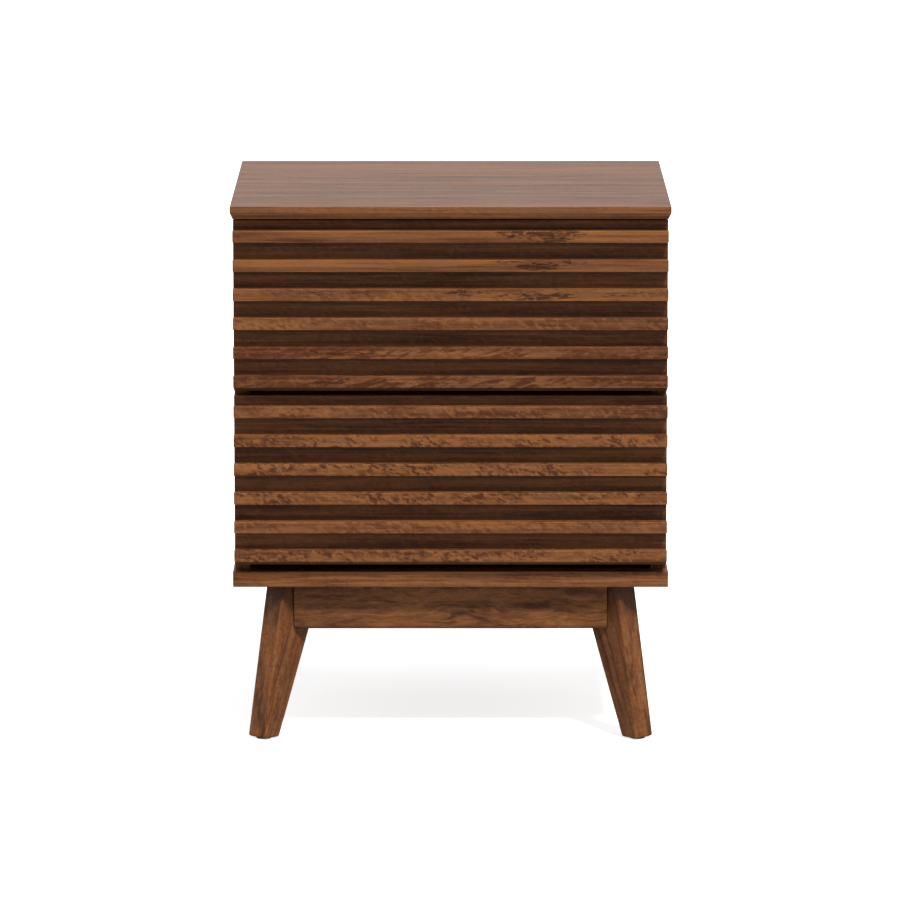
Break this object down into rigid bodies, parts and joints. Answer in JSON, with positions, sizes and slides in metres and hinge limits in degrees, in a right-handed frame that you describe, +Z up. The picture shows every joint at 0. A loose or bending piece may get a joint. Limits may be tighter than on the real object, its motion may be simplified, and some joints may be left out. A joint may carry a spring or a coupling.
{
  "type": "nightstand with drawers",
  "caption": "Bedside cabinet with slatted drawer fronts on ball-bearing runners, in a walnut case on splayed, tapered diagonal legs.",
  "frame": {"origin": "on the floor, under the middle of the top board", "axes": "+Z up, +Y to the back, +X to the right of a person facing the drawers"},
  "size_m": [0.47, 0.394, 0.582],
  "materials": {
    "case_walnut": "satin",
    "front_walnut": "satin",
    "leg_walnut": "satin",
    "inner_wood": "matte",
    "back_board": "matte",
    "drawer_box_wood": "satin",
    "drawer_bottom_board": "matte",
    "dowel_beech": "matte",
    "rail_steel": "brushed",
    "screw_steel": "satin",
    "zinc": "cast",
    "bumper_rubber": "matte",
    "glide_plastic": "matte"
  },
  "bodies": {
    "cabinet": {"top_panel": "case_walnut", "bottom_panel": "case_walnut", "side_panel_left": "case_walnut", "side_panel_right": "case_walnut", "back_panel": "back_board", "middle_rail": "inner_wood", "cam_fittings": "zinc", "back_panel_screws": "screw_steel", "front_bumpers": "bumper_rubber", "leg_front_left": "leg_walnut", "leg_front_right": "leg_walnut", "leg_rear_left": "leg_walnut", "leg_rear_right": "leg_walnut", "apron_front": "leg_walnut", "apron_rear": "leg_walnut", "apron_left": "leg_walnut", "apron_right": "leg_walnut", "corner_blocks": "inner_wood", "base_screws": "screw_steel", "foot_glides": "glide_plastic", "dowels": "dowel_beech", "rail_screws": "screw_steel", "lower_fixed_rail_left": "rail_steel", "lower_fixed_rail_right": "rail_steel", "upper_fixed_rail_left": "rail_steel", "upper_fixed_rail_right": "rail_steel"},
    "lower_drawer": {"lower_front_panel": "front_walnut", "lower_slat_1": "front_walnut", "lower_slat_2": "front_walnut", "lower_slat_3": "front_walnut", "lower_slat_4": "front_walnut", "lower_slat_5": "front_walnut", "lower_slat_6": "front_walnut", "lower_box_left": "drawer_box_wood", "lower_box_right": "drawer_box_wood", "lower_box_front": "drawer_box_wood", "lower_box_rear": "drawer_box_wood", "lower_box_bottom": "drawer_bottom_board", "lower_drawer_screws": "screw_steel", "lower_moving_rail_left": "rail_steel", "lower_moving_rail_right": "rail_steel"},
    "lower_ball_cages": {"lower_ball_cage_left": "rail_steel", "lower_ball_cage_right": "rail_steel"},
    "upper_drawer": {"upper_front_panel": "front_walnut", "upper_slat_1": "front_walnut", "upper_slat_2": "front_walnut", "upper_slat_3": "front_walnut", "upper_slat_4": "front_walnut", "upper_slat_5": "front_walnut", "upper_slat_6": "front_walnut", "upper_box_left": "drawer_box_wood", "upper_box_right": "drawer_box_wood", "upper_box_front": "drawer_box_wood", "upper_box_rear": "drawer_box_wood", "upper_box_bottom": "drawer_bottom_board", "upper_drawer_screws": "screw_steel", "upper_moving_rail_left": "rail_steel", "upper_moving_rail_right": "rail_steel"},
    "upper_ball_cages": {"upper_ball_cage_left": "rail_steel", "upper_ball_cage_right": "rail_steel"}
  },
  "joints": [
    {"name": "lower_drawer_slide", "type": "slide", "parent": "cabinet", "child": "lower_drawer", "axis": [0, -1, 0], "range_m": [0, 0.21]},
    {"name": "lower_cage_roll", "type": "slide", "parent": "cabinet", "child": "lower_ball_cages", "axis": [0, -1, 0], "range_m": [0, 0.105]},
    {"name": "upper_drawer_slide", "type": "slide", "parent": "cabinet", "child": "upper_drawer", "axis": [0, -1, 0], "range_m": [0, 0.21]},
    {"name": "upper_cage_roll", "type": "slide", "parent": "cabinet", "child": "upper_ball_cages", "axis": [0, -1, 0], "range_m": [0, 0.105]}
  ],
  "couplings": [
    {"joint": "lower_cage_roll", "follows": "lower_drawer_slide", "ratio": 0.5},
    {"joint": "upper_cage_roll", "follows": "upper_drawer_slide", "ratio": 0.5}
  ]
}
